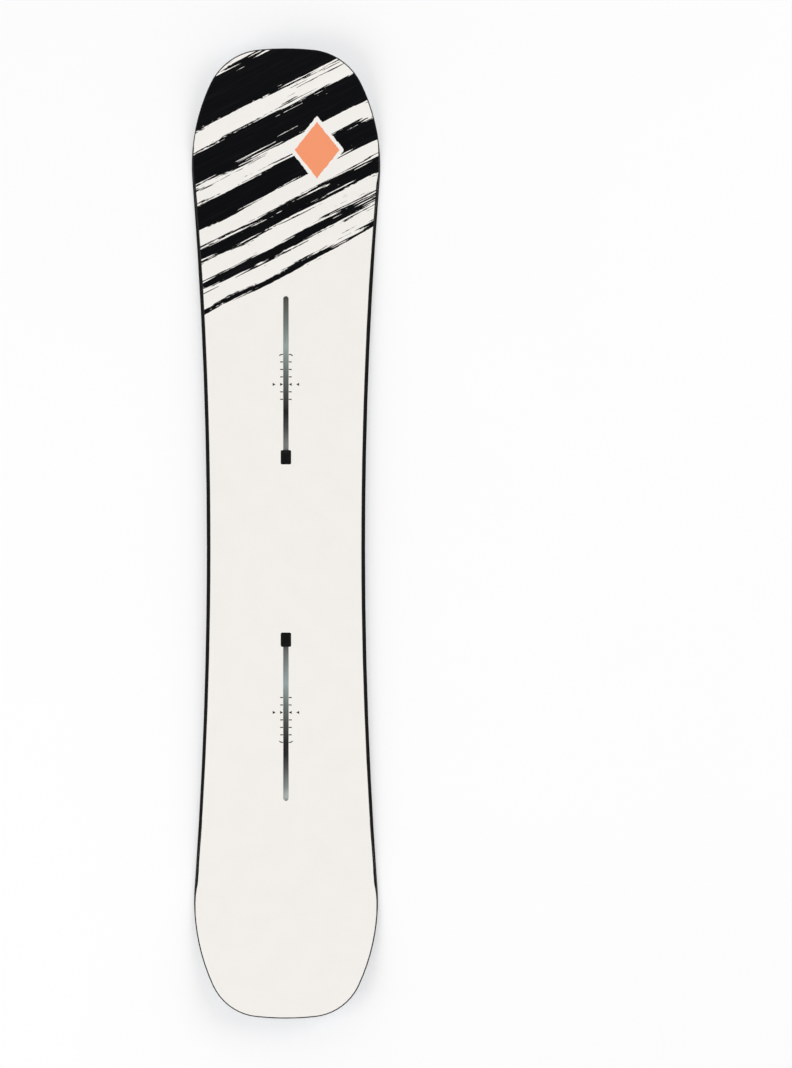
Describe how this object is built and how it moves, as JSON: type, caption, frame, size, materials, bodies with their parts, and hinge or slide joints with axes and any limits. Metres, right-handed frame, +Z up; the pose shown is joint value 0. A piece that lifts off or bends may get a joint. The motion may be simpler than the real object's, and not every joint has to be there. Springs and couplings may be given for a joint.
{
  "type": "snowboard deck",
  "caption": "Wide cambered snowboard deck with turned-up nose and tail, steel edges, laminated wood core and lengthwise slot channels for bindings, closed by pull-out rubber plugs.",
  "frame": {"origin": "under the middle of the overall length and width, on the flat ground that the contact lines touch", "axes": "+Z up through the topsheet, +Y towards the nose, +X towards the toe side of a regular stance"},
  "size_m": [0.3157, 1.62, 0.0564],
  "materials": {
    "topsheet": "satin printed nylon topsheet, off-white",
    "base": "waxed sintered polyethylene, pale blue",
    "edge_steel": "ground steel edge",
    "edge_foil": "thin damping rubber",
    "glass_laminate": "cured glass fibre and resin",
    "wood_light": "planed poplar",
    "wood_dense": "planed beech",
    "sidewall": "bevelled black plastic sidewall",
    "tip_spacer": "black plastic filler",
    "channel_nylon": "glass-filled nylon",
    "rail_aluminium": "extruded, clear anodised",
    "floor_strip": "cold-rolled strip",
    "plug_rubber": "matte moulded rubber"
  },
  "bodies": {
    "deck": {"base_sheet": "base", "core_stringer_centre": "wood_dense", "core_stringer_heel_1": "wood_light", "core_stringer_heel_2": "wood_light", "core_stringer_heel_3": "wood_dense", "core_stringer_heel_4": "wood_light", "core_stringer_heel_5": "wood_dense", "core_stringer_toe_1": "wood_light", "core_stringer_toe_2": "wood_light", "core_stringer_toe_3": "wood_dense", "core_stringer_toe_4": "wood_light", "core_stringer_toe_5": "wood_dense", "edge_foil_heel": "edge_foil", "edge_foil_toe": "edge_foil", "edge_heel": "edge_steel", "edge_toe": "edge_steel", "front_channel_floor_strip": "floor_strip", "front_channel_housing": "channel_nylon", "front_channel_rail_heel": "rail_aluminium", "front_channel_rail_toe": "rail_aluminium", "lower_glass_inner": "glass_laminate", "lower_glass_outer": "glass_laminate", "nose_spacer": "tip_spacer", "rear_channel_floor_strip": "floor_strip", "rear_channel_housing": "channel_nylon", "rear_channel_rail_heel": "rail_aluminium", "rear_channel_rail_toe": "rail_aluminium", "sidewall_heel": "sidewall", "sidewall_toe": "sidewall", "tail_spacer": "tip_spacer", "topsheet": "topsheet", "upper_glass": "glass_laminate"},
    "plug_front": {"front_plug": "plug_rubber"},
    "plug_rear": {"rear_plug": "plug_rubber"}
  },
  "joints": [
    {"name": "front_plug_lift", "type": "slide", "parent": "deck", "child": "plug_front", "axis": [0, 0, 1], "range_m": [0, 0.012]},
    {"name": "rear_plug_lift", "type": "slide", "parent": "deck", "child": "plug_rear", "axis": [0, 0, 1], "range_m": [0, 0.012]}
  ]
}
